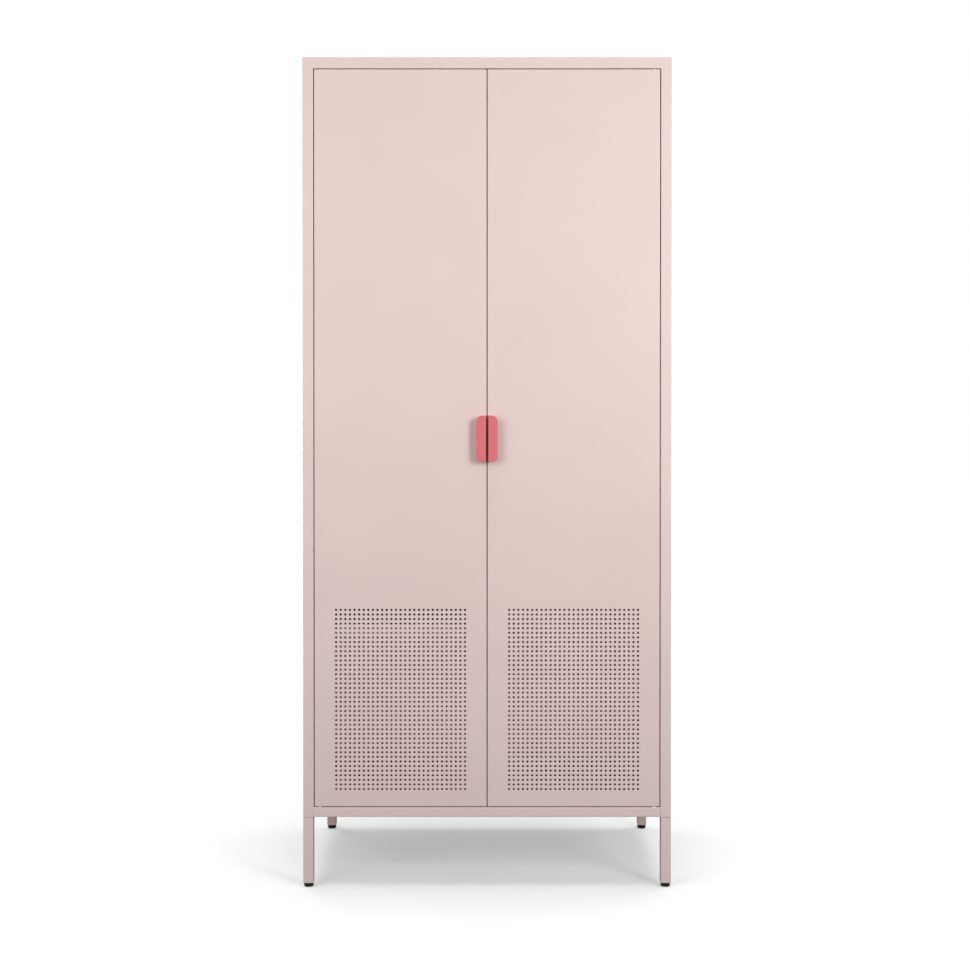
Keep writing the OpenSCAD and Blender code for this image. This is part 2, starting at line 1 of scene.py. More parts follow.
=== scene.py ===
"""Looks of a two-door steel locker cabinet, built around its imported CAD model.

Lengths are in metres, in the CAD model's frame: the doors face -Y and the floor is z = 0.
"""

import json
import math

import bmesh
import bpy
from mathutils import Matrix, Vector


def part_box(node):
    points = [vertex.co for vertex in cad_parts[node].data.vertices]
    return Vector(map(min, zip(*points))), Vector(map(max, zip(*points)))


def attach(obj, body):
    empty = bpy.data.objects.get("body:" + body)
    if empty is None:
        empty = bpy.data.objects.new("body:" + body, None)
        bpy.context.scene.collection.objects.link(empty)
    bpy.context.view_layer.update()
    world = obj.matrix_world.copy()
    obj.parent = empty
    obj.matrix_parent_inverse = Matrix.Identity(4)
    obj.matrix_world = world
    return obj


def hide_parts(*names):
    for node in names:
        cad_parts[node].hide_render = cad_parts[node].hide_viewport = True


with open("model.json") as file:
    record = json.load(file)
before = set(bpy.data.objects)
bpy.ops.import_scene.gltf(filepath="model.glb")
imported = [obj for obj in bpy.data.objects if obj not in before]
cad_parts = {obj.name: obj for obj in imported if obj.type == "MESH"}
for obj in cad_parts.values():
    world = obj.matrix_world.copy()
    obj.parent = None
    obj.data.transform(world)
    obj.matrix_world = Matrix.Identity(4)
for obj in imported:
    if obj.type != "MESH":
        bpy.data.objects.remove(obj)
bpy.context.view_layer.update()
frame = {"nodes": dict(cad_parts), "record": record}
nodes = frame["nodes"]

MM = 0.001
SHEET = 1.0 * MM
DOOR_SHEET = 0.8 * MM
FOLD_RADIUS = 1.6 * MM
CUT_RADIUS = 0.25 * MM
FOLD_STEPS = 5
WELD_FLANGE = 20 * MM
SAME_POINT = 1e-6


# ------------------------------------------------------------------ materials


def new_material(name, color, roughness, metallic=0.0, specular=0.5):
    material = bpy.data.materials.new(name)
    material.use_nodes = True
    shader = material.node_tree.nodes["Principled BSDF"]
    shader.inputs["Base Color"].default_value = (*color, 1)
    shader.inputs["Roughness"].default_value = roughness
    shader.inputs["Metallic"].default_value = metallic
    shader.inputs["Specular IOR Level"].default_value = specular
    return material


def add_node(material, kind, **inputs):
    node = material.node_tree.nodes.new(kind)
    for name, value in inputs.items():
        node.inputs[name.replace("_", " ")].default_value = value
    return node


def add_noise(material, scale, detail=3.0, stretch=(1, 1, 1)):
    """Noise in object space; scale is in cycles per metre, roughly."""
    links = material.node_tree.links
    place = add_node(material, "ShaderNodeTexCoord")
    mapping = add_node(material, "ShaderNodeMapping", Scale=stretch)
    noise = add_node(material, "ShaderNodeTexNoise", Scale=scale, Detail=detail)
    links.new(place.outputs["Object"], mapping.inputs["Vector"])
    links.new(mapping.outputs["Vector"], noise.inputs["Vector"])
    return noise.outputs["Fac"]


def vary_roughness(material, source, low, high):
    links = material.node_tree.links
    shader = material.node_tree.nodes["Principled BSDF"]
    spread = add_node(material, "ShaderNodeMapRange")
    spread.inputs["From Min"].default_value = 0.3
    spread.inputs["From Max"].default_value = 0.7
    spread.inputs["To Min"].default_value = low
    spread.inputs["To Max"].default_value = high
    links.new(source, spread.inputs["Value"])
    links.new(spread.outputs["Result"], shader.inputs["Roughness"])


def vary_color(material, source, low, high):
    links = material.node_tree.links
    shader = material.node_tree.nodes["Principled BSDF"]
    ramp = add_node(material, "ShaderNodeValToRGB")
    ramp.color_ramp.elements[0].position = 0.3
    ramp.color_ramp.elements[1].position = 0.7
    ramp.color_ramp.elements[0].color = (*low, 1)
    ramp.color_ramp.elements[1].color = (*high, 1)
    links.new(source, ramp.inputs["Fac"])
    links.new(ramp.outputs["Color"], shader.inputs["Base Color"])


def add_bump(material, source, strength, distance):
    links = material.node_tree.links
    shader = material.node_tree.nodes["Principled BSDF"]
    bump = add_node(material, "ShaderNodeBump", Strength=strength, Distance=distance)
    links.new(source, bump.inputs["Height"])
    links.new(bump.outputs["Normal"], shader.inputs["Normal"])


def powder_coat(name, color, roughness):
    """Satin powder coat: fine orange peel, a faint unevenness of tone and gloss."""
    material = new_material(name, color, roughness)
    tone = add_noise(material, 5.0, 2.0)
    vary_color(material, tone, [0.985 * c for c in color], [min(1.0, 1.015 * c) for c in color])
    vary_roughness(material, add_noise(material, 60.0), roughness - 0.04, roughness + 0.04)
    add_bump(material, add_noise(material, 750.0, 2.0), 0.25, 0.00006)
    return material


def plated_steel(name, color, roughness):
    material = new_material(name, color, roughness, metallic=1.0)
    vary_color(material, add_noise(material, 90.0), [0.9 * c for c in color], color)
    vary_roughness(material, add_noise(material, 240.0), roughness - 0.06, roughness + 0.08)
    add_bump(material, add_noise(material, 1500.0, 1.0), 0.15, 0.00003)
    return material


def moulded(name, color, roughness):
    material = new_material(name, color, roughness, specular=0.4)
    vary_color(material, add_noise(material, 120.0), [0.85 * c for c in color], color)
    vary_roughness(material, add_noise(material, 300.0), roughness - 0.06, roughness + 0.06)
    add_bump(material, add_noise(material, 2200.0, 1.0), 0.3, 0.00005)
    return material


PINK = powder_coat("pink_powder_coat", (0.80, 0.634, 0.604), 0.46)
CORAL = powder_coat("coral_powder_coat", (0.74, 0.17, 0.19), 0.40)
ZINC = plated_steel("zinc_hardware", (0.62, 0.63, 0.65), 0.34)
CHROME = plated_steel("rail_chrome", (0.75, 0.76, 0.78), 0.14)
BLACK = moulded("black_plastic", (0.022, 0.022, 0.023), 0.5)
RUBBER = moulded("black_rubber", (0.03, 0.03, 0.03), 0.75)
MAGNET = moulded("ferrite_magnet", (0.05, 0.048, 0.046), 0.6)
NYLON = moulded("natural_nylon", (0.86, 0.85, 0.81), 0.42)

SLOTS = {
    "pink_powder_coat": PINK,
    "coral_powder_coat": CORAL,
    "zinc_hardware": ZINC,
    "rail_chrome": CHROME,
    "black_plastic": BLACK,
    "black_rubber": RUBBER,
    "ferrite_magnet": MAGNET,
    "natural_nylon": NYLON,
}
NODE_SLOT = {s["node"]: s["material_slot"] for s in frame["record"]["subparts"]}
BODY_NODES = frame["record"]["behaviour"]["bodies"]
NODE_BODY = {node: body for body, members in BODY_NODES.items() for node in members}


# ------------------------------------------------------------------ mesh helpers


SHARP_ANGLE = math.radians(35)


def shade(mesh):
    """Smooth across small angles and sharp across large ones."""
    mesh.shade_smooth()
    mesh.set_sharp_from_angle(angle=SHARP_ANGLE)


def add_piece(name, mesh, node, *also):
    """A piece that stands for a CAD node, and any others named: same body, slot and material."""
    shade(mesh)
    mesh.materials.clear()
    mesh.materials.append(SLOTS[NODE_SLOT[node]])
    piece = bpy.data.objects.new(name, mesh)
    bpy.context.scene.collection.objects.link(piece)
    weighted = piece.modifiers.new("flat_faces_stay_flat", "WEIGHTED_NORMAL")
    weighted.keep_sharp = True
    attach(piece, NODE_BODY[node])
    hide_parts(node, *also)
    return piece


def to_mesh(name, bm):
    """The finished mesh of bm, its touching points joined and its faces turned outward."""
    bmesh.ops.remove_doubles(bm, verts=bm.verts, dist=SAME_POINT)
    bmesh.ops.recalc_face_normals(bm, faces=bm.faces)
    mesh = bpy.data.meshes.new(name)
    bm.to_mesh(mesh)
    bm.free()
    return mesh


def baked(piece_mesh, *modifiers):
    """The mesh after the given modifiers, each (type, {setting: value})."""
    holder = bpy.data.objects.new("holder", piece_mesh)
    bpy.context.scene.collection.objects.link(holder)
    for kind, settings in modifiers:
        modifier = holder.modifiers.new(kind, kind)
        for name, value in settings.items():
            setattr(modifier, name, value)
    bpy.context.view_layer.update()
    evaluated = holder.evaluated_get(bpy.context.evaluated_depsgraph_get())
    result = bpy.data.meshes.new_from_object(evaluated)
    bpy.data.objects.remove(holder)
    return result


NARROW_FACE = 4 * MM
SHORTEST_FOLD = 40 * MM
BEVEL_STEPS = 3


def round_edges(mesh, fold, cut):
    """Rounds convex edges: long ones between two wide faces are folds, all others are cut edges."""
    bm = bmesh.new()
    bm.from_mesh(mesh)
    bmesh.ops.remove_doubles(bm, verts=bm.verts, dist=SAME_POINT)
    bmesh.ops.dissolve_limit(bm, angle_limit=math.radians(1), verts=bm.verts, edges=bm.edges)
    layers = bm.edges.layers.float
    weight = layers.get("bevel_weight_edge") or layers.new("bevel_weight_edge")
    for edge in bm.edges:
        if len(edge.link_faces) != 2 or edge.calc_face_angle_signed() < SHARP_ANGLE:
            continue
        length = edge.calc_length()
        narrowest = min(face.calc_area() for face in edge.link_faces) / length
        is_fold = narrowest > NARROW_FACE and length > SHORTEST_FOLD
        edge[weight] = 1.0 if is_fold else cut / fold
    plain = to_mesh("rounded", bm)
    settings = {
        "limit_method": "WEIGHT",
        "width": fold,
        "segments": BEVEL_STEPS,
        "use_clamp_overlap": False,
        "miter_outer": "MITER_ARC",
    }
    return baked(plain, ("BEVEL", settings))


def rounded_node(node, fold=FOLD_RADIUS, cut=CUT_RADIUS):
    """A finer copy of a CAD node whose folds and cut edges are rounded."""
    mesh = round_edges(nodes[node].data, fold, cut)
    return add_piece(node + "_finished", mesh, node)


def corner_arc(centre, radius, start, steps):
    """Points of a quarter circle from angle start, in degrees, anticlockwise."""
    angles = [math.radians(start + 90.0 * i / steps) for i in range(steps + 1)]
    return [(centre[0] + radius * math.cos(a), centre[1] + radius * math.sin(a)) for a in angles]


def folded_strip(path, thickness, radius):
    """Outline of a strip of sheet along path, its centreline in 2D, with round right-angle folds.

    radius is the outer radius of a fold. Returns (left side, right side) as lists of points.
    """
    sides = []
    half = thickness / 2
    for side in (1, -1):
        points = []
        for i, here in enumerate(path):
            here = Vector(here)
            back = (here - Vector(path[i - 1])).normalized() if i else None
            ahead = (Vector(path[i + 1]) - here).normalized() if i + 1 < len(path) else None
            if back is None or ahead is None:
                along = back or ahead
                points.append(here + side * half * Vector((-along.y, along.x)))
                continue
            turn = back.x * ahead.y - back.y * ahead.x
            inner = turn * side > 0
            bend = radius - thickness if inner else radius
            hub = here + (ahead - back) * (radius - half)
            for k in range(FOLD_STEPS + 1):
                a = math.radians(90.0 * k / FOLD_STEPS)
                spoke = -ahead * math.cos(a) + back * math.sin(a)
                points.append(hub + spoke * bend)
        sides.append(points)
    return sides


def lathe(name, profile, segments=48):
    """A body of revolution about Z; profile is a list of (radius, height) from end to end."""
    bm = bmesh.new()
    turns = [2 * math.pi * i / segments for i in range(segments)]
    rings = []
    for radius, height in profile:
        places = [(radius * math.cos(a), radius * math.sin(a), height) for a in turns]
        rings.append([bm.verts.new(place) for place in (places if radius else [(0, 0, height)])])
    for low, high in zip(rings, rings[1:]):
        for i in range(segments):
            j = (i + 1) % segments
            if len(low) == 1:
                bm.faces.new((low[0], high[i], high[j]))
            elif len(high) == 1:
                bm.faces.new((low[i], low[j], high[0]))
            else:
                bm.faces.new((low[i], low[j], high[j], high[i]))
    return to_mesh(name, bm)


def add_block(bm, low, high):
    """A plain block between two corners, added to bm."""
    size = [h - l for l, h in zip(low, high)]
    middle = [(l + h) / 2 for l, h in zip(low, high)]
    place = Matrix.Translation(middle) @ Matrix.Diagonal((*size, 1))
    bmesh.ops.create_cube(bm, size=1, matrix=place)


# ------------------------------------------------------------------ body shell

side_low, side_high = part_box("left_side_panel")
top_low, top_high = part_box("top_panel")
HALF_W = -side_low.x
BASE_Z = side_low.z
TOP_Z = top_high.z
POST_W = side_high.x - side_low.x
TOP_RAIL_H = top_high.z - top_low.z
JAMB_BACK_Y = side_low.y + 25 * MM
TOP_LIP = 12 * MM
JAMB_GAP = 0.05 * MM
REAR_FLANGE = 22 * MM


def shell_profile(top_rail):
    """Section of the wrapped shell: lip, jamb, front face, web and rear flange, as (inset, y)."""
    half = SHEET / 2
    lip_y = JAMB_BACK_Y - half
    face = TOP_RAIL_H if top_rail else POST_W
    lip_end = face - TOP_LIP if top_rail else SHEET + JAMB_GAP
    path = [
        (lip_end, lip_y),
        (face - half, lip_y),
        (face - half, side_low.y + half),
        (half, side_low.y + half),
        (half, side_high.y - half),
        (REAR_FLANGE, side_high.y - half),
    ]
    left, right = folded_strip(path, SHEET, FOLD_RADIUS)
    return left + right[::-1]


def shell_station(profile, corner_turn, side, base_z=None):
    """The section at one place of the shell's path: at the base, or part-way round a top corner."""
    points = []
    for (inset, y), (top_inset, _) in profile:
        if base_z is not None:
            points.append((side * (HALF_W - inset), y, base_z))
            continue
        if inset < FOLD_RADIUS and top_inset < FOLD_RADIUS:
            reach = FOLD_RADIUS - inset
            x = HALF_W - FOLD_RADIUS + reach * math.cos(corner_turn)
            z = TOP_Z - FOLD_RADIUS + reach * math.sin(corner_turn)
        else:
            x, z = HALF_W - inset, TOP_Z - top_inset
        points.append((side * x, y, z))
    return points


def body_shell():
    """Both side panels and the roof, welded and ground flush at the front corners."""
    profile = list(zip(shell_profile(False), shell_profile(True)))
    turns = [math.radians(90.0 * i / FOLD_STEPS) for i in range(FOLD_STEPS + 1)]
    stations = [shell_station(profile, 0, -1, base_z=BASE_Z)]
    stations += [shell_station(profile, t, -1) for t in turns]
    stations += [shell_station(profile, t, 1) for t in turns[::-1]]
    stations += [shell_station(profile, 0, 1, base_z=BASE_Z)]
    bm = bmesh.new()
    rings = [[bm.verts.new(p) for p in station] for station in stations]
    count = len(profile)
    for low, high in zip(rings, rings[1:]):
        for i in range(count):
            j = (i + 1) % count
            bm.faces.new((low[i], low[j], high[j], high[i]))
    bm.faces.new(rings[0])
    bm.faces.new(rings[-1][::-1])
    wall, front, rear = HALF_W - SHEET, side_low.y + SHEET, side_high.y - SHEET
    for side in (-1, 1):
        low_x, high_x = sorted((side * wall, side * (wall - WELD_FLANGE)))
        add_block(bm, (low_x, front, BASE_Z), (high_x, rear, BASE_Z + SHEET))
        low_x, high_x = sorted((side * wall, side * (wall - SHEET)))
        add_block(bm, (low_x, JAMB_BACK_Y, TOP_Z - WELD_FLANGE), (high_x, rear, TOP_Z - SHEET))
    mesh = to_mesh("body_shell", bm)
    return add_piece("body_shell", mesh, "left_side_panel", "right_side_panel", "top_panel")


body_shell()


# ------------------------------------------------------------------ doors

HOLE_PITCH = 10 * MM
HOLE_RADIUS = 2.5 * MM
HOLE_ROLL = 0.3 * MM
HOLE_COLUMNS = 29
HOLE_ROWS = 40
HOLE_SIDES = 16
LOWEST_ROW = 38 * MM
DOOR_LIP = 14 * MM
DOOR_BORDER = 12 * MM
DOOR_FOLD = 1.4 * MM
DOOR_CORNER = 1.6 * MM
CORNER_STEPS = 4


def rect_ring(bm, low, high, inset, y, radius):
    """A rectangle in the XZ plane with round corners, inset from the door's outline."""
    r = max(radius - inset, 0.0)
    x0, x1 = low.x + inset + r, high.x - inset - r
    z0, z1 = low.z + inset + r, high.z - inset - r
    points = []
    for centre, start in (((x1, z1), 0), ((x0, z1), 90), ((x0, z0), 180), ((x1, z0), 270)):
        points += corner_arc(centre, r, start, CORNER_STEPS)
    return [bm.verts.new((x, y, z)) for x, z in points]


def bridge(bm, ring_a, ring_b):
    """The faces between two rings of as many points each."""
    for i in range(len(ring_a)):
        j = (i + 1) % len(ring_a)
        bm.faces.new((ring_a[i], ring_a[j], ring_b[j], ring_b[i]))


def perforated_cell(bm, x, z, front_y, back_y):
    """One square of sheet with a round hole, its front rim rolled over by the punch."""
    half = HOLE_PITCH / 2
    outline = [(1, 0), (1, 1), (0, 1), (-1, 1), (-1, 0), (-1, -1), (0, -1), (1, -1)]
    per_side = HOLE_SIDES // len(outline)
    turns = [2 * math.pi * i / HOLE_SIDES for i in range(HOLE_SIDES)]

    def ring(radius, y):
        places = [(x + radius * math.cos(a), y, z + radius * math.sin(a)) for a in turns]
        return [bm.verts.new(place) for place in places]

    def border(y):
        return [bm.verts.new((x + u * half, y, z + v * half)) for u, v in outline]

    front_rim = ring(HOLE_RADIUS + HOLE_ROLL, front_y)
    rim = ring(HOLE_RADIUS, front_y + HOLE_ROLL)
    wall = ring(HOLE_RADIUS, back_y)
    bridge(bm, front_rim, rim)
    bridge(bm, rim, wall)
    for outer, inner in ((border(front_y), front_rim), (border(back_y), wall)):
        for k in range(len(outline)):
            arc = [inner[(k * per_side + i) % HOLE_SIDES] for i in range(per_side + 1)]
            bm.faces.new([outer[k], outer[(k + 1) % len(outer)]] + arc[::-1])


def door_skin(side):
    """Folded door: front sheet with its grid of holes, edges folded back, lips folded in."""
    low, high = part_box(side + "_door_panel")
    front_y, back_y = low.y, low.y + DOOR_SHEET
    half = DOOR_SHEET / 2
    path = [
        (DOOR_BORDER, low.y + half),
        (half, low.y + half),
        (half, high.y - half),
        (DOOR_LIP, high.y - half),
    ]
    outer, inner = folded_strip(path, DOOR_SHEET, DOOR_FOLD)
    if outer[0][1] > inner[0][1]:
        outer, inner = inner, outer
    bm = bmesh.new()
    rings = [rect_ring(bm, low, high, u, y, DOOR_CORNER) for u, y in outer + inner[::-1]]
    for ring_a, ring_b in zip(rings, rings[1:]):
        bridge(bm, ring_a, ring_b)

    first_x = (low.x + high.x) / 2 - (HOLE_COLUMNS - 1) / 2 * HOLE_PITCH
    first_z = low.z + LOWEST_ROW
    for column in range(HOLE_COLUMNS):
        x = first_x + column * HOLE_PITCH
        for row in range(HOLE_ROWS):
            perforated_cell(bm, x, first_z + row * HOLE_PITCH, front_y, back_y)

    half_pitch = HOLE_PITCH / 2
    x0, z0 = first_x - half_pitch, first_z - half_pitch
    x1, z1 = x0 + HOLE_COLUMNS * HOLE_PITCH, z0 + HOLE_ROWS * HOLE_PITCH
    xs = [x0 + i * half_pitch for i in range(2 * HOLE_COLUMNS + 1)]
    zs = [z0 + i * half_pitch for i in range(2 * HOLE_ROWS + 1)]
    left, right = low.x + DOOR_BORDER, high.x - DOOR_BORDER
    bottom, top = low.z + DOOR_BORDER, high.z - DOOR_BORDER
    for y in (front_y, back_y):
        borders = (
            [(left, bottom), (left, top)] + [(x0, z) for z in zs[::-1]],
            [(right, top), (right, bottom)] + [(x1, z) for z in zs],
            [(right, bottom), (left, bottom)] + [(x, z0) for x in xs],
            [(left, top), (right, top)] + [(x, z1) for x in xs[::-1]],
        )
        for points in borders:
            bm.faces.new([bm.verts.new((x, y, z)) for x, z in points])
    mesh = to_mesh(side + "_door_skin", bm)
    return add_piece(side + "_door_skin", mesh, side + "_door_panel")


for door_side in ("left", "right"):
    door_skin(door_side)
    rounded_node(door_side + "_handle", fold=0.8 * MM, cut=0.6 * MM)
    rounded_node(door_side + "_door_stiffener", fold=1.2 * MM, cut=0.2 * MM)


# ------------------------------------------------------------------ folded sheets and legs

SHELVES = ("lower_shelf", "middle_shelf", "upper_shelf", "hat_shelf")
for sheet_node in ("floor_panel", *SHELVES, "centre_partition"):
    rounded_node(sheet_node)
for small_node in ("shelf_uprights", "shelf_clips", "door_magnets"):
    rounded_node(small_node, fold=0.4 * MM, cut=0.2 * MM)


TUBE_CORNER = 1.8 * MM
TUBE_END = 0.6 * MM
NECK_HEIGHT = 1.6 * MM
NECK_DEPTH = 2.2 * MM
NECK_STEP = 0.02 * MM
CORNERS = ("front_left", "front_right", "rear_left", "rear_right")


def leg(node):
    """A square tube with round corners and a narrow neck where it meets the body."""
    low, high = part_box(node)
    bm = bmesh.new()
    bm.from_mesh(round_edges(nodes[node].data, TUBE_CORNER, TUBE_END))
    neck_z = high.z - NECK_HEIGHT
    for z in (neck_z - NECK_STEP, neck_z):
        everything = bm.verts[:] + bm.edges[:] + bm.faces[:]
        bmesh.ops.bisect_plane(bm, geom=everything, plane_co=(0, 0, z), plane_no=(0, 0, 1))
    middle = (low + high) / 2
    shrink = 1 - NECK_DEPTH / (high.x - middle.x)
    for vert in bm.verts:
        if vert.co.z > neck_z - NECK_STEP / 2:
            vert.co.x = middle.x + (vert.co.x - middle.x) * shrink
            vert.co.y = middle.y + (vert.co.y - middle.y) * shrink
    add_piece(node + "_finished", to_mesh(node, bm), node)


for leg_corner in CORNERS:
    leg("leg_" + leg_corner)


# ------------------------------------------------------------------ feet

PAD_ROUND = 2.5 * MM
PAD_ROUND_STEPS = 6
PAD_COLLAR_HEIGHT = 1.6 * MM
PAD_COLLAR_DEPTH = 0.5 * MM
PAD_SHOULDER = 0.3 * MM
PAD_TOP_EDGE = 0.4 * MM
THREAD_PITCH = 1.25 * MM
THREAD_DEPTH = 0.75 * MM
STEM_END = 1 * MM
SMALL_SEGMENTS = 32


def foot(corner):
    """A moulded pad: round at the floor, with a collar sunk below its rim at the top."""
    node = "foot_pad_" + corner
    low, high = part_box(node)
    radius, height = (high.x - low.x) / 2, high.z
    collar, collar_z = radius - PAD_COLLAR_DEPTH, height - PAD_COLLAR_HEIGHT
    profile = [(0, 0), (radius - PAD_ROUND, 0)]
    profile += corner_arc((radius - PAD_ROUND, PAD_ROUND), PAD_ROUND, 270, PAD_ROUND_STEPS)
    profile += [(radius, collar_z), (collar, collar_z + PAD_SHOULDER)]
    profile += [(collar, height - PAD_TOP_EDGE), (collar - PAD_TOP_EDGE, height), (0, height)]
    mesh = lathe(node, profile)
    mesh.transform(Matrix.Translation(((low.x + high.x) / 2, (low.y + high.y) / 2, 0)))
    add_piece(node + "_finished", mesh, node)


def threaded_stem(corner):
    """The rod above a foot, with the ridges and grooves of its thread."""
    node = "foot_stem_" + corner
    low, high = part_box(node)
    radius = (high.x - low.x) / 2
    profile = [(0, low.z), (radius - STEM_END, low.z), (radius, low.z + STEM_END)]
    turns = int((high.z - low.z - 3 * STEM_END) / THREAD_PITCH)
    for i in range(turns):
        z = low.z + STEM_END + i * THREAD_PITCH
        for depth, part in ((0, 0.1), (THREAD_DEPTH, 0.5), (0, 0.9)):
            profile.append((radius - depth, z + part * THREAD_PITCH))
    profile += [(radius, high.z - STEM_END), (radius - STEM_END, high.z), (0, high.z)]
    mesh = lathe(node, profile, SMALL_SEGMENTS)
    mesh.transform(Matrix.Translation(((low.x + high.x) / 2, (low.y + high.y) / 2, 0)))
    add_piece(node + "_finished", mesh, node)


for foot_corner in CORNERS:
    foot(foot_corner)
    threaded_stem(foot_corner)


# ------------------------------------------------------------------ turned and stamped hardware


def solid_boxes(node):
    """Lowest and highest corners of each separate solid in a CAD node."""
    bm = bmesh.new()
    bm.from_mesh(nodes[node].data)
    bmesh.ops.remove_doubles(bm, verts=bm.verts, dist=SAME_POINT)
    boxes, waiting = [], set(bm.verts)
    while waiting:
        front, found = [waiting.pop()], []
        while front:
            vert = front.pop()
            found.append(vert.co.copy())
            near = {edge.other_vert(vert) for edge in vert.link_edges} & waiting
            waiting -= near
            front += near
        boxes.append([Vector([pick(p[k] for p in found) for k in range(3)]) for pick in (min, max)])
    bm.free()
    return sorted(boxes, key=lambda box: tuple(box[0]))


def toward_hanging_space(low):
    """Away from the partition or the right side, whichever a fitting is fixed to."""
    return Vector((1, 0, 0)) if low.x < HALF_W / 2 else Vector((-1, 0, 0))


def turned_set(node, profile, facing=None, segments=SMALL_SEGMENTS):
    """Each solid of a node, turned to a profile that rises along facing.

    Without a facing, a solid points into the hanging space from the wall it is fixed to.
    """
    bm = bmesh.new()
    for low, high in solid_boxes(node):
        axis = facing or toward_hanging_space(low)
        base = (low + high) / 2
        for k in range(3):
            if axis[k]:
                base[k] = low[k] if axis[k] > 0 else high[k]
        mesh = lathe(node, profile, segments)
        mesh.transform(Matrix.Translation(base) @ axis.to_track_quat("Z", "Y").to_matrix().to_4x4())
        bm.from_mesh(mesh)
        bpy.data.meshes.remove(mesh)
    return add_piece(node + "_finished", to_mesh(node, bm), node)


DOME_STEPS = 6
HEAD_RIM = 0.3 * MM
SOCKET_DEPTH = 1.2 * MM
SOCKET_TAPER = 0.9
SOCKET_SEGMENTS = 64
BUFFER_DOME = 1.4 * MM
PLATE_EDGE = 0.5 * MM


def dome(radius, low, high):
    """A low round head from its rim up to its crown, as (radius, height)."""
    turns = [math.radians(90.0 * i / DOME_STEPS) for i in range(DOME_STEPS)]
    glow_by_distance = high - low
    return [(radius * math.cos(a), low + glow_by_distance * math.sin(a)) for a in turns] + [(0, high)]


def headed(shank, shank_length, head, head_height, socket=0.0):
    """A screw or rivet from the end of its shank to its crown; a screw has a socket's radius."""
    seat = shank_length
    crown = seat + head_height
    profile = [(0, 0), (shank, 0), (shank, seat), (head, seat), (head, seat + HEAD_RIM)]
    rounding = dome(head, seat + HEAD_RIM, crown)[1:]
    if not socket:
        return profile + rounding
    bottom = crown - SOCKET_DEPTH
    outside = [point for point in rounding if point[0] > socket]
    opening = (socket, outside[-1][1])
    return profile + outside + [opening, (socket * SOCKET_TAPER, bottom), (0, bottom)]


def in_mm(*points):
    """A profile given in millimetres."""
    return [(radius * MM, height * MM) for radius, height in points]


rivet = headed(shank=2 * MM, shank_length=1 * MM, head=4 * MM, head_height=1.2 * MM)
turned_set("hat_shelf_rivets", rivet)
rail_screw = headed(
    shank=2 * MM, shank_length=3 * MM, head=2.5 * MM, head_height=1.5 * MM, socket=1 * MM
)
turned_set("rail_socket_screws", rail_screw)
socket_flange = in_mm((0, 0), (23, 0), (23, 2.2), (22.7, 2.8), (22, 3))
cup_outside = in_mm((16.5, 3), (15.7, 3.3), (15.5, 4.2), (15.5, 11.4))
cup_inside = in_mm((14.9, 12), (13, 12), (12.5, 11.5), (12.5, 3), (0, 3))
rail_socket = socket_flange + cup_outside + cup_inside
turned_set("rail_sockets", rail_socket, segments=SOCKET_SEGMENTS)
handle_screw = headed(
    shank=2 * MM, shank_length=3.3 * MM, head=4 * MM, head_height=2.4 * MM, socket=1.6 * MM
)
for door_side in ("left", "right"):
    turned_set(door_side + "_handle_screws", handle_screw, facing=Vector((0, 1, 0)))
buffer_low, buffer_high = solid_boxes("door_buffers")[0]
buffer_radius = (buffer_high.x - buffer_low.x) / 2
buffer_depth = buffer_high.y - buffer_low.y
buffer_dome = dome(buffer_radius, buffer_depth - BUFFER_DOME, buffer_depth)
buffer_profile = [(0, 0), (buffer_radius, 0)] + buffer_dome
turned_set("door_buffers", buffer_profile, facing=Vector((0, -1, 0)))
PLATES = ("wall_fixing_plates", "upper_pivot_plates", "lower_pivot_plates", "leg_nut_plates")
for plate_node in (*PLATES, "leg_inserts"):
    rounded_node(plate_node, fold=PLATE_EDGE, cut=PLATE_EDGE)


# ------------------------------------------------------------------ CAD nodes that stay

for node_name, cad_node in nodes.items():
    cad_node.data.materials.clear()
    cad_node.data.materials.append(SLOTS[NODE_SLOT[node_name]])


# ------------------------------------------------------------------ stage, light and camera

FLOOR_REACH = 40.0
FLOOR_SEEN = (0.538, 0.552, 0.552)
FLOOR_GLOW = 0.334
FAR_FLOOR_GLOW = 0.52
NEAR_FLOOR = 0.45
FAR_FLOOR = 2.2
FLOOR_BOUNCE = 0.15
WHITE = (1, 1, 1)


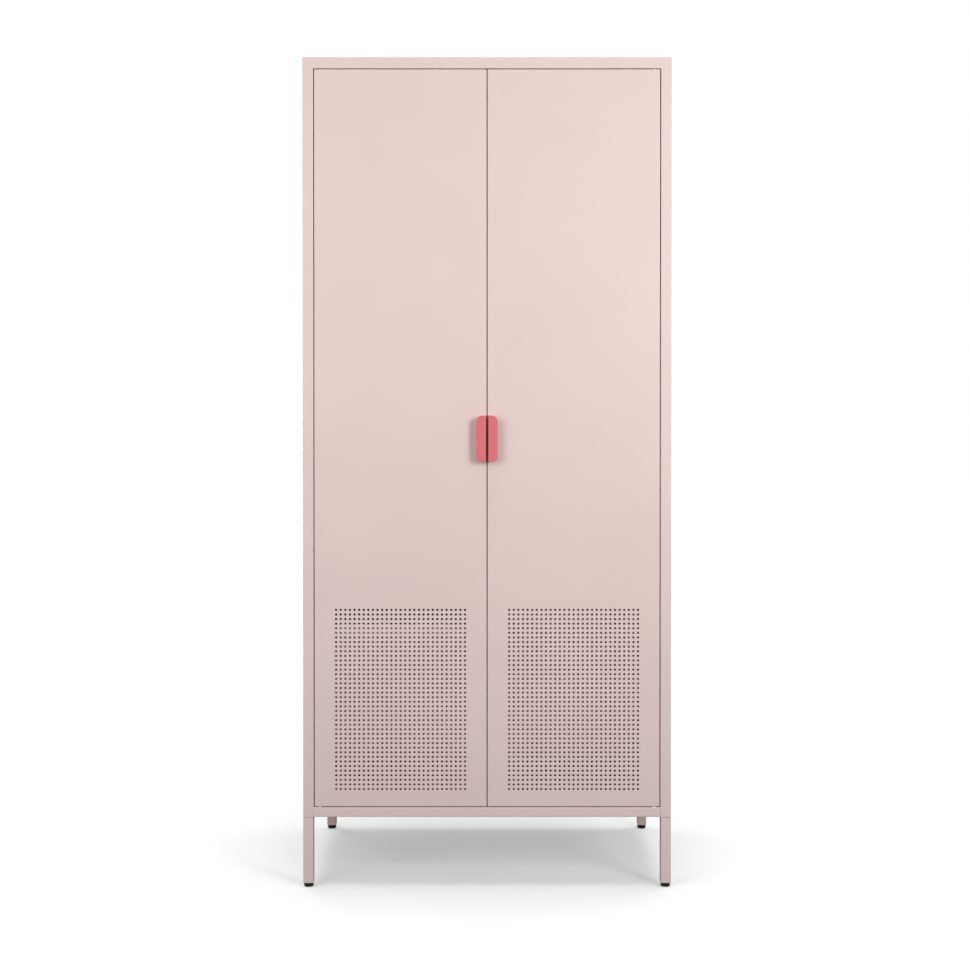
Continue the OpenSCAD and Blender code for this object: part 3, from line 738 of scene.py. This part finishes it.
def floor_stage():
    """A white floor that glows more away from the cabinet, so that it stays white out there; the
    glow is painted light, and it leaves the floor near the cabinet darker than far out.

    What it throws back on the cabinet is dimmer than what is seen of it.
    """
    mesh = bpy.data.meshes.new("stage_floor")
    reach = FLOOR_REACH
    corners = [(-reach, -reach, 0), (reach, -reach, 0), (reach, reach, 0), (-reach, reach, 0)]
    mesh.from_pydata(corners, [], [(0, 1, 2, 3)])
    floor = bpy.data.objects.new("stage_floor", mesh)
    bpy.context.scene.collection.objects.link(floor)
    material = bpy.data.materials.new("stage_floor")
    material.use_nodes = True
    tree = material.node_tree
    tree.nodes.remove(tree.nodes["Principled BSDF"])
    seen = tree.nodes.new("ShaderNodeBsdfDiffuse")
    seen.inputs["Color"].default_value = (*FLOOR_SEEN, 1)
    glow = tree.nodes.new("ShaderNodeEmission")
    place = tree.nodes.new("ShaderNodeTexCoord")
    distance = tree.nodes.new("ShaderNodeVectorMath")
    distance.operation = "LENGTH"
    # Painted light: the floor's glow is FLOOR_GLOW within NEAR_FLOOR of the cabinet and rises to
    # FAR_FLOOR_GLOW by FAR_FLOOR.
    glow_by_distance = tree.nodes.new("ShaderNodeMapRange")
    glow_by_distance.inputs["From Min"].default_value = NEAR_FLOOR
    glow_by_distance.inputs["From Max"].default_value = FAR_FLOOR
    glow_by_distance.inputs["To Min"].default_value = FLOOR_GLOW
    glow_by_distance.inputs["To Max"].default_value = FAR_FLOOR_GLOW
    tree.links.new(place.outputs["Object"], distance.inputs[0])
    tree.links.new(distance.outputs["Value"], glow_by_distance.inputs["Value"])
    tree.links.new(glow_by_distance.outputs["Result"], glow.inputs["Strength"])
    both = tree.nodes.new("ShaderNodeAddShader")
    bounce = tree.nodes.new("ShaderNodeBsdfDiffuse")
    bounce.inputs["Color"].default_value = (*[FLOOR_BOUNCE] * 3, 1)
    ray = tree.nodes.new("ShaderNodeLightPath")
    mix = tree.nodes.new("ShaderNodeMixShader")
    tree.links.new(seen.outputs[0], both.inputs[0])
    tree.links.new(glow.outputs[0], both.inputs[1])
    tree.links.new(ray.outputs["Is Camera Ray"], mix.inputs[0])
    tree.links.new(bounce.outputs[0], mix.inputs[1])
    tree.links.new(both.outputs[0], mix.inputs[2])
    tree.links.new(mix.outputs[0], tree.nodes["Material Output"].inputs["Surface"])
    mesh.materials.append(material)


def world_light(strength):
    """An even white surround: seen as white, lighting the cabinet with the given strength."""
    world = bpy.data.worlds.new("surround")
    bpy.context.scene.world = world
    world.use_nodes = True
    tree = world.node_tree
    seen = tree.nodes["Background"]
    seen.inputs["Color"].default_value = (*WHITE, 1)
    seen.inputs["Strength"].default_value = 1.0
    lit = tree.nodes.new("ShaderNodeBackground")
    lit.inputs["Color"].default_value = (*WHITE, 1)
    lit.inputs["Strength"].default_value = strength
    ray = tree.nodes.new("ShaderNodeLightPath")
    mix = tree.nodes.new("ShaderNodeMixShader")
    tree.links.new(ray.outputs["Is Camera Ray"], mix.inputs[0])
    tree.links.new(lit.outputs[0], mix.inputs[1])
    tree.links.new(seen.outputs[0], mix.inputs[2])
    tree.links.new(mix.outputs[0], tree.nodes["World Output"].inputs["Surface"])


def softbox(name, place, target, size, watts, spread, color=WHITE):
    """A rectangular lamp aimed at a point; size is (width, height), spread is in degrees."""
    light = bpy.data.lights.new(name, "AREA")
    light.shape = "RECTANGLE"
    light.size, light.size_y = size
    light.energy = watts
    light.color = color
    light.spread = math.radians(spread)
    lamp = bpy.data.objects.new(name, light)
    lamp.location = place
    lamp.rotation_euler = (Vector(target) - Vector(place)).to_track_quat("-Z", "Y").to_euler()
    lamp.visible_camera = False
    bpy.context.scene.collection.objects.link(lamp)


def overhead_sun(strength, tilt, spread):
    """Light from above, leaning from the back by tilt; both angles are in degrees."""
    light = bpy.data.lights.new("overhead", "SUN")
    light.energy = strength
    light.angle = math.radians(spread)
    lamp = bpy.data.objects.new("overhead", light)
    lamp.rotation_euler = (math.radians(-tilt), 0, 0)
    bpy.context.scene.collection.objects.link(lamp)


def studio_camera(place, lens, shift, tilt):
    """A camera that looks toward +Y, tilted down by tilt degrees."""
    data = bpy.data.cameras.new("camera")
    data.lens = lens
    data.sensor_width = 36
    data.shift_y = shift
    camera = bpy.data.objects.new("camera", data)
    camera.location = place
    camera.rotation_euler = (math.radians(90 - tilt), 0, 0)
    bpy.context.scene.collection.objects.link(camera)
    return camera


floor_stage()
world_light(0.30)
overhead_sun(2.2, tilt=1.7, spread=34)
UPPER_DOORS = (0, -0.23, 1.45)
FRONT_SPREAD = 145
softbox("right_softbox", (1.75, -2.3, 1.6), UPPER_DOORS, (0.9, 1.2), 28.2, FRONT_SPREAD)
softbox("left_softbox", (-1.75, -2.3, 1.6), UPPER_DOORS, (1.6, 1.6), 20.6, FRONT_SPREAD)
FILL_SIZE = (1.6, 1.2)
FILL_SPREAD = 150
softbox("rear_left_fill", (-3.0, 3.2, 1.0), (-0.2, 0.1, 0.9), FILL_SIZE, 42, FILL_SPREAD)
softbox("rear_right_fill", (3.3, 1.6, 1.0), (0.4, 0, 0.9), FILL_SIZE, 20, FILL_SPREAD)

# Faint warm light that rises from the compartment floors, seen through the perforation.
INSIDE_SIZE = (0.34, 0.4)
INSIDE_SPREAD = 170
INSIDE_WARMTH = (1.0, 0.32, 0.28)
INSIDE_Y = 0.03
CEILING_Z = 2
for x, z, watts in ((-0.2, 0.19, 0.045), (-0.2, 0.54, 0.035), (0.19, 0.19, 0.075)):
    here, above = (x, INSIDE_Y, z), (x, INSIDE_Y, CEILING_Z)
    softbox("inside_bounce", here, above, INSIDE_SIZE, watts, INSIDE_SPREAD, INSIDE_WARMTH)

camera = studio_camera((-0.0045, -3.2273, 0.9617), lens=51.2, shift=-0.03, tilt=0.46)
bpy.context.scene.camera = camera
bpy.context.scene.view_settings.view_transform = "Standard"
